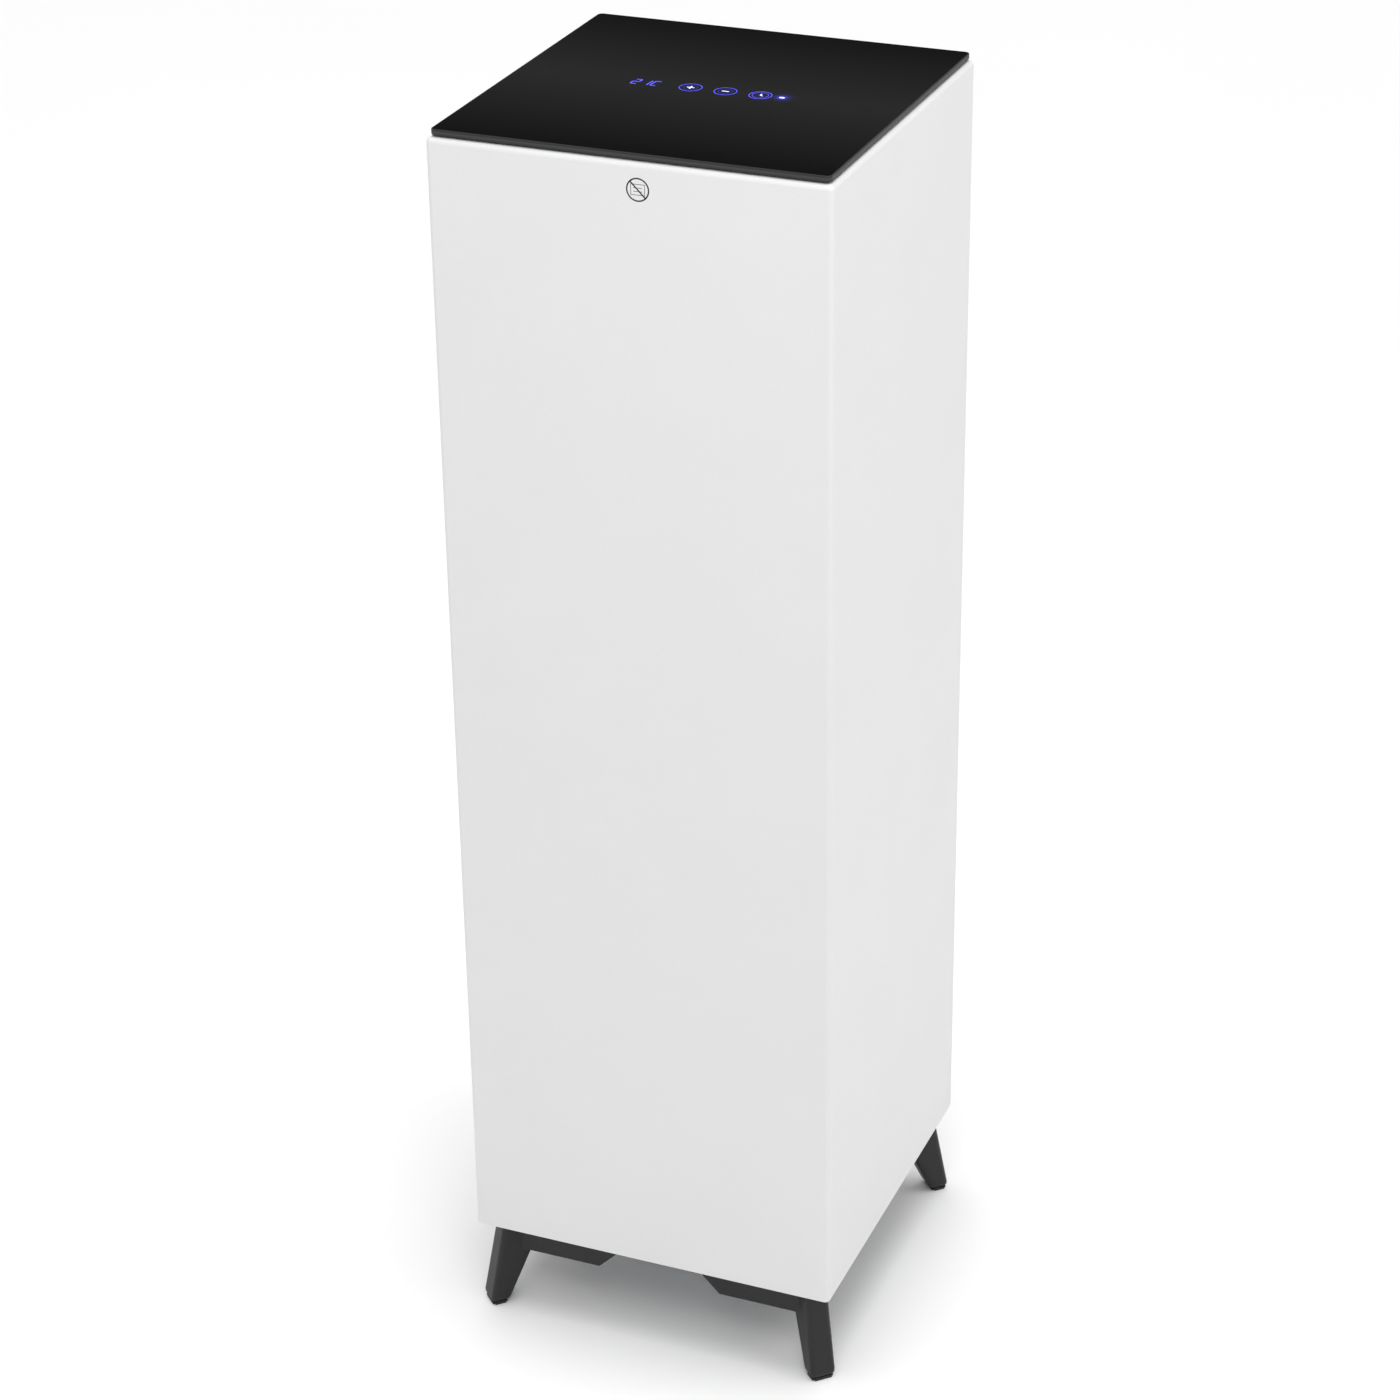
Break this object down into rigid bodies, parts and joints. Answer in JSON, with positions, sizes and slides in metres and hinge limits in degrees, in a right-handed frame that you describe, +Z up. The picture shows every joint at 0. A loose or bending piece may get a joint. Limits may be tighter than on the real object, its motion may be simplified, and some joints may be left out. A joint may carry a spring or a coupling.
{
  "type": "air purifier",
  "caption": "Tall square-section free-standing air purifier with a glass control top, splayed feet, a rear filter drawer and a rear outlet grille",
  "frame": {"origin": "on the floor under the middle of the cabinet", "axes": "+Z up, +X to the right of the front panel seen from the front, the front panel faces -Y, the cassette pulls out along +Y"},
  "size_m": [0.2616, 0.2616, 0.8582],
  "materials": {
    "cabinet_paint": "fine-texture white powder coat, satin",
    "zinc_sheet": "plain galvanised sheet, dull metallic",
    "black_glass": "back-painted tempered glass, high gloss, ground grey edge",
    "gasket_foam": "matt black closed-cell foam tape",
    "black_plastic": "fine-grained moulded plastic, satin black",
    "grey_plastic": "moulded flame-retardant plastic, matt grey",
    "white_plastic": "moulded plastic, fine grain, white to match the cabinet",
    "pad_rubber": "matt black rubber",
    "filter_medium": "soft white pleated filter medium",
    "carbon": "black activated-carbon fleece in a plain frame",
    "prefilter_mesh": "dark woven nylon mesh",
    "machined_steel": "bright machined steel",
    "fin_aluminium": "thin bright fins",
    "circuit_board": "green solder mask",
    "lit_lens": "clear light guide lit blue from below",
    "lead_sheath": "black lead sheath"
  },
  "bodies": {
    "cabinet": {"air_duct": "black_plastic", "base_pan": "zinc_sheet", "bearing_front": "machined_steel", "bearing_rear": "machined_steel", "cabinet_shell": "cabinet_paint", "catch_strike_left": "zinc_sheet", "catch_strike_right": "zinc_sheet", "control_board": "circuit_board", "control_lead": "lead_sheath", "control_tray": "black_plastic", "dust_sensor": "black_plastic", "electronics_box": "grey_plastic", "electronics_lid": "grey_plastic", "fan_scroll": "black_plastic", "filter_bay": "zinc_sheet", "foot_front_left": "black_plastic", "foot_front_right": "black_plastic", "foot_pad_front_left": "pad_rubber", "foot_pad_front_right": "pad_rubber", "foot_pad_rear_left": "pad_rubber", "foot_pad_rear_right": "pad_rubber", "foot_rear_left": "black_plastic", "foot_rear_right": "black_plastic", "glass_gasket": "gasket_foam", "glass_top": "black_glass", "heater_bar_front": "fin_aluminium", "heater_bar_middle": "fin_aluminium", "heater_bar_rear": "fin_aluminium", "heater_frame": "grey_plastic", "inlet_ring": "black_plastic", "key_ring_minus": "lit_lens", "key_ring_plus": "lit_lens", "key_ring_timer": "lit_lens", "mains_inlet": "black_plastic", "mains_lead": "lead_sheath", "motor_body": "machined_steel", "motor_mount_ring": "pad_rubber", "motor_plate": "zinc_sheet", "outlet_grille": "black_plastic", "outlet_hood": "black_plastic", "pin_carrier": "machined_steel", "power_board": "circuit_board", "readout_module": "black_plastic", "rear_panel": "cabinet_paint", "service_plate": "cabinet_paint", "status_light": "lit_lens", "switch_frame": "black_plastic", "thermal_cutout": "white_plastic", "tip_over_switch": "white_plastic"},
    "cassette": {"cassette_frame": "white_plastic", "pleated_filter": "filter_medium", "carbon_filter": "carbon", "prefilter": "prefilter_mesh", "cassette_seal": "gasket_foam", "catch_magnet_left": "machined_steel", "catch_magnet_right": "machined_steel"},
    "fan_rotor": {"impeller": "grey_plastic", "motor_shaft": "machined_steel", "clamp_nut": "machined_steel"},
    "rocker": {"power_rocker": "black_plastic"}
  },
  "joints": [
    {"name": "cassette_slide", "type": "slide", "parent": "cabinet", "child": "cassette", "axis": [0, 1, 0], "range_m": [0, 0.075]},
    {"name": "fan_spin", "type": "hinge", "parent": "cabinet", "child": "fan_rotor", "pos_m": [0, 0, 0.275], "axis": [0, 1, 0], "continuous": true},
    {"name": "rocker_tilt", "type": "hinge", "parent": "cabinet", "child": "rocker", "pos_m": [0.04, 0.1277, 0.1], "axis": [1, 0, 0], "range_deg": [-16, 0]}
  ]
}
